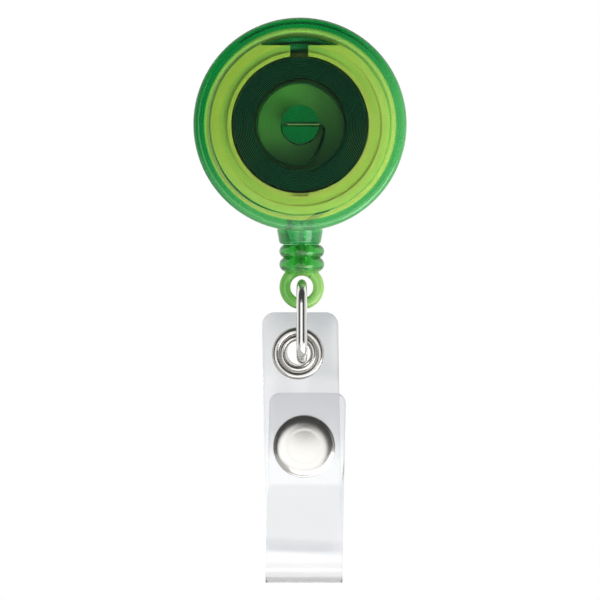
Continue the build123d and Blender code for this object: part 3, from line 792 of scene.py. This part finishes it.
def buildWinding():
    # a helix whose y runs from flange to flange and back, one layer each way, while its radius grows from
    # layer to layer; each layer rests against a flange for the share hold at either end; the coil is a little
    # off centre, but for its last turn, which swells by a bell curve at the lower left
    layers, hold = winding["layers"], winding["hold"]
    perLayer = winding["turnsPerLayer"] * winding["stepsPerTurn"]
    count = perLayer * len(layers)
    step = np.arange(count + 1)
    turn = winding["leadAngle"] + 2 * np.pi * (count - step) / winding["stepsPerTurn"]
    place = step / perLayer
    layer = np.clip(np.floor(place), 0, len(layers) - 1)
    share = np.clip((place - layer) * (1 + 2 * hold) - hold, 0, 1)
    half = (winding["turnsPerLayer"] - 1) * cordRadius
    zigzag = np.where(layer % 2 == 0, 1 - 2 * share, 2 * share - 1)
    y = middleY + winding["forward"] + half * zigzag * winding["spread"]
    radius = np.interp(place, np.arange(len(layers)) + 0.5, layers)
    last = np.clip((step - (count - winding["stepsPerTurn"])) / winding["stepsPerTurn"], 0, 1)
    away = np.mod(turn - winding["looseAngle"] + np.pi, 2 * np.pi) - np.pi
    swell = np.exp(-(away**2) / (2 * winding["looseSpread"] ** 2))
    radius = radius + (last > 0) * winding["loose"] * swell
    aside = winding["offCentre"] * np.cos(turn - winding["offAngle"])
    radius = radius + aside * (1 - last ** winding["settle"])
    path = np.stack((radius * np.cos(turn), y, radius * np.sin(turn)), axis=-1)
    return tubeAlong("wound_cord", path, cordRadius, throughFace, sides=winding["sides"]), path[-1]


woundCord, leadStart = buildWinding()
paint(woundCord, braidedNylon)
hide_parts("cord_winding")
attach(woundCord, "spool")

lead = {
    "mouth": 1.6 * mm, "intoKnot": 0.6 * mm, "inSteps": 20, "bendSteps": 25, "outSteps": 40, "sides": 14,
    "blendFrom": -16.0 * mm, "blendTo": -18.3 * mm,
}


def buildLead():
    # off the last turn at a tangent, round the funnel's mouth in a quadratic curve pulled towards the corner
    # where the two straight runs would meet, and down to the knot
    heading = np.array((math.sin(winding["leadAngle"]), 0.0, -math.cos(winding["leadAngle"])))
    corner = leadStart + heading * (hangX - leadStart[0]) / heading[0]
    corner[1] = middleY
    end = np.array((hangX, middleY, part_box("end_knot")[1][2] - lead["intoKnot"]))
    near = corner + unit(leadStart - corner) * lead["mouth"]
    far = corner + unit(end - corner) * lead["mouth"]
    t = np.linspace(0, 1, lead["bendSteps"])[:, None]
    bend = (1 - t) ** 2 * near + 2 * t * (1 - t) * corner + t**2 * far
    runIn = leadStart + (near - leadStart) * np.linspace(0, 1, lead["inSteps"], endpoint=False)[:, None]
    runOut = far + (end - far) * np.linspace(0, 1, lead["outSteps"])[1:, None]
    path = np.concatenate((runIn, bend, runOut))
    return tubeAlong("lead_cord", path, cordRadius, throughFace, sides=lead["sides"])


leadCord = buildLead()
paint(leadCord, braidedNylon)
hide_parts("cord_lead")
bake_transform(leadCord)

knot = {
    "size": 0.186 * mm, "depth": 0.33 * mm, "strand": 0.36 * mm, "drop": 1.275 * mm, "steps": 120,
    "sides": 12, "askew": (0.3, 1.0, 0.2), "sway": 0.12 * mm, "swayLength": 1.1 * mm, "stemSteps": 30,
    "stemShare": 0.98,
}


def buildKnot():
    # a trefoil, x = size (sin t + 2 sin 2t), z = size (cos t - 2 cos 2t) and y = -depth sin 3t, round a stem
    # that sways as a sine from the knot's top to its tail
    low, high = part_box("end_knot")
    t = np.linspace(0, 2 * np.pi, knot["steps"], endpoint=False)
    x = hangX + knot["size"] * (np.sin(t) + 2 * np.sin(2 * t))
    y = middleY - knot["depth"] * np.sin(3 * t)
    z = high[2] - knot["drop"] + knot["size"] * (np.cos(t) - 2 * np.cos(2 * t))
    path = np.stack((x, y, z), axis=-1)
    loops = tubeAlong("end_knot_tied", path, knot["strand"], knot["askew"], sides=knot["sides"], closed=True)
    stemZ = np.linspace(high[2], low[2], knot["stemSteps"])
    sway = knot["sway"] * np.sin((stemZ - high[2]) / knot["swayLength"])
    stem = np.stack((hangX + sway, middleY + 0 * stemZ, stemZ), axis=-1)
    tail = tubeAlong("knotTail", stem, cordRadius * knot["stemShare"], throughFace, sides=knot["sides"])
    joinPieces(loops, (tail,))
    return loops


endKnot = buildKnot()
paint(endKnot, braidedNylon)
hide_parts("end_knot")
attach(endKnot, "cord_end")
print("cord ready")


# the power spring: a coil that turns with the spool, and a tail held by the arbor's slot
spring = {
    "strip": 0.13 * mm, "pitch": 0.24 * mm, "inner": 6.1 * mm, "loose": 6.35 * mm, "packed": 7.0 * mm,
    "outer": 10.1 * mm, "stepsPerTurn": 120, "rear": -5.85 * mm, "front": -9.85 * mm,
    "looseTurn": (0.0, 0.15, 0.6, 1.0), "slotX": 1.9 * mm, "slotEnd": 2.75 * mm, "exitX": 2.9 * mm,
    "bend": 0.9 * mm, "landing": math.radians(270), "ease": 2.2 * mm, "lean": 0.5 * mm,
    "slotSteps": 20, "bendSteps": 24, "easeSteps": 60, "crease": math.radians(50),
}


def stripAlong(name, x, z, lean=0.0):
    # a flat strip on edge: the path in the face's plane, moved half the strip's thickness each way; its rear
    # edge leans out by lean times the squared sine of half a turn's share of the way
    path = np.stack((x, 0 * x, z), axis=-1)
    tangent = unit(np.gradient(path, axis=0))
    outward = np.cross(tangent, throughFace)
    side = outward * spring["strip"] / 2
    share = np.linspace(0, 1, len(x))[:, None]
    front = np.array((0, spring["front"], 0))
    rear = np.array((0, spring["rear"], 0)) - outward * lean * np.sin(np.pi * share) ** 2
    corners = (path + side + front, path + side + rear, path - side + rear, path - side + front)
    ring = np.stack(corners, axis=1)
    caps = [ring[i:i + 1].mean(axis=1, keepdims=True).repeat(4, axis=1) for i in (0, len(x) - 1)]
    return gridPiece(name, np.concatenate((caps[0], ring, caps[1])), closeCols=True)


def buildCoil():
    # clockwise from where the tail lands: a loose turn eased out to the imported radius, then one pitch a turn
    turns = 1 + (spring["outer"] - spring["packed"]) / spring["pitch"]
    swept = np.linspace(0, turns, int(turns * spring["stepsPerTurn"]))
    angle = spring["landing"] - 2 * np.pi * swept
    close = spring["packed"] + spring["pitch"] * np.clip(swept - 1, 0, None)
    radii = (spring["inner"], spring["loose"], spring["loose"], spring["packed"])
    radius = np.where(swept < 1, np.interp(swept, spring["looseTurn"], radii), close)
    return stripAlong("spring_coil", radius * np.cos(angle), radius * np.sin(angle))


def buildTail():
    # straight along the slot, a quarter circle down, and a cubic curve that lands on the coil's inside
    out = np.linspace(-spring["slotX"], spring["exitX"], spring["slotSteps"])
    turn = np.linspace(0, np.pi / 2, spring["bendSteps"])[1:]
    bend = np.stack((
        spring["exitX"] + spring["bend"] * np.sin(turn), spring["bend"] * (np.cos(turn) - 1),
    ), axis=-1)
    landing = np.array((math.cos(spring["landing"]), math.sin(spring["landing"])))
    end = spring["inner"] * landing
    pull = np.array((landing[1], -landing[0])) * spring["ease"]
    t = np.linspace(0, 1, spring["easeSteps"])[1:, None]
    knots = (bend[-1], bend[-1] + np.array((0, -spring["ease"])), end - pull, end)
    weights = ((1 - t) ** 3, 3 * t * (1 - t) ** 2, 3 * t**2 * (1 - t), t**3)
    run = sum(weight * point for weight, point in zip(weights, knots))
    line = np.concatenate((np.stack((out, 0 * out), axis=-1), bend, run))
    gripped = int(np.sum(line[:len(out), 0] < spring["slotEnd"]))
    grippedEnd = stripAlong("spring_end", *line[:gripped + 1].T)
    return grippedEnd, stripAlong("spring_tail", *line[gripped:].T, spring["lean"])


springCoil = buildCoil()
springEnd, springTail = buildTail()
# the end held in the slot takes the steel with the painted glint
for piece, body, material in (
    (springCoil, "spool", springSteel), (springEnd, "case", glintSteel), (springTail, "case", springSteel),
):
    addModifier(piece, "EDGE_SPLIT", split_angle=spring["crease"])
    applyModifiers(piece)
    paint(piece, material)
    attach(piece, body)
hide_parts("power_spring")
print("spring ready")


# the eyelet: a domed flange, the lip of its hole, and a barrel rolled out over the washer
eyelet = {
    "hole": 1.85 * mm, "outer": 3.95 * mm, "rise": 0.62 * mm, "curl": 0.32 * mm, "under": 0.05 * mm,
    # outside and inside radius and rise, then where the half turn begins and ends in half turns
    "bumps": ((3.95 * mm, 2.75 * mm, 0.5 * mm, 0.0, 0.93), (2.9 * mm, 1.85 * mm, 0.62 * mm, 0.07, 1.0)),
    "bumpSteps": 20, "curlSteps": 14, "segments": 120, "backAside": (0.22 * mm, 0.16 * mm),
}


def buildEyelet():
    # two half ellipses, each its middle radius plus half its width by a cosine and its rise by a sine, then
    # the half circle of the barrel's curl
    low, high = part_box("eyelet")
    faceAt = low[1] + eyelet["rise"]
    bumps = []
    for outside, inside, rise, start, end in eyelet["bumps"]:
        over = np.linspace(start * np.pi, end * np.pi, eyelet["bumpSteps"])
        mean, spread = (outside + inside) / 2, (outside - inside) / 2
        bumps.append(np.stack((mean + spread * np.cos(over), faceAt - rise * np.sin(over)), axis=-1))
    roll = np.linspace(np.pi, 0, eyelet["curlSteps"])
    curl = np.stack((
        eyelet["hole"] + eyelet["curl"] * (1 + np.cos(roll)), high[1] - eyelet["curl"] * (1 - np.sin(roll)),
    ), axis=-1)
    inner = np.array((
        (eyelet["hole"] + 2 * eyelet["curl"], faceAt + eyelet["under"]),
        (eyelet["outer"] - eyelet["under"], faceAt),
    ))
    profile = np.concatenate((*bumps, curl, inner))
    drift = np.zeros_like(profile)
    drift[2 * eyelet["bumpSteps"]:-len(inner)] = eyelet["backAside"]
    return turnedPiece("rolled_eyelet", profile, boxCentre("eyelet"), eyelet["segments"], drift)


rolledEyelet = buildEyelet()
paint(rolledEyelet, eyeletNickel)
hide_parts("eyelet")
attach(rolledEyelet, "strap")


# the snap cap: nearly flat, with a soft shoulder and a thin rolled rim
cap = {
    "radius": 4.7 * mm, "flat": 2.4 * mm, "drop": 0.56 * mm, "rim": 0.2 * mm, "dome": 0.06 * mm,
    "edge": 0.12 * mm, "steepest": 0.99, "back": 1.05 * mm, "post": 0.9 * mm,
    "faceSteps": 48, "rimSteps": 12, "segments": 120,
}


def buildCap():
    # nearly flat, falling back with the radius squared, then a quarter of an ellipse back to the rim, a half
    # circle rolled in behind, and the post's foot
    low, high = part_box("snap_cap")
    backAt = low[1] + cap["back"]
    radius = np.linspace(0, cap["radius"] - cap["rim"], cap["faceSteps"])
    out = (radius - cap["flat"]) / (cap["radius"] - cap["edge"] - cap["flat"])
    shoulder = cap["drop"] * (1 - np.sqrt(1 - np.clip(out, 0, cap["steepest"]) ** 2))
    face = low[1] + shoulder + cap["dome"] * np.minimum(radius / cap["flat"], 1) ** 2
    roll = np.linspace(-np.pi / 2, np.pi / 2, cap["rimSteps"])[1:]
    edgeAt = face[-1] + cap["rim"]
    rim = np.stack((radius[-1] + cap["rim"] * np.cos(roll), edgeAt + cap["rim"] * np.sin(roll)), axis=-1)
    post = np.array((
        (radius[-1] - cap["rim"], backAt), (cap["post"], backAt), (cap["post"], high[1]), (0, high[1]),
    ))
    profile = np.concatenate((np.stack((radius, face), axis=-1), rim, post))
    return turnedPiece("domed_cap", profile, boxCentre("snap_cap"), cap["segments"])


domedCap = buildCap()
paint(domedCap, capNickel)
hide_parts("snap_cap")
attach(domedCap, "flap")
print("metal ready")
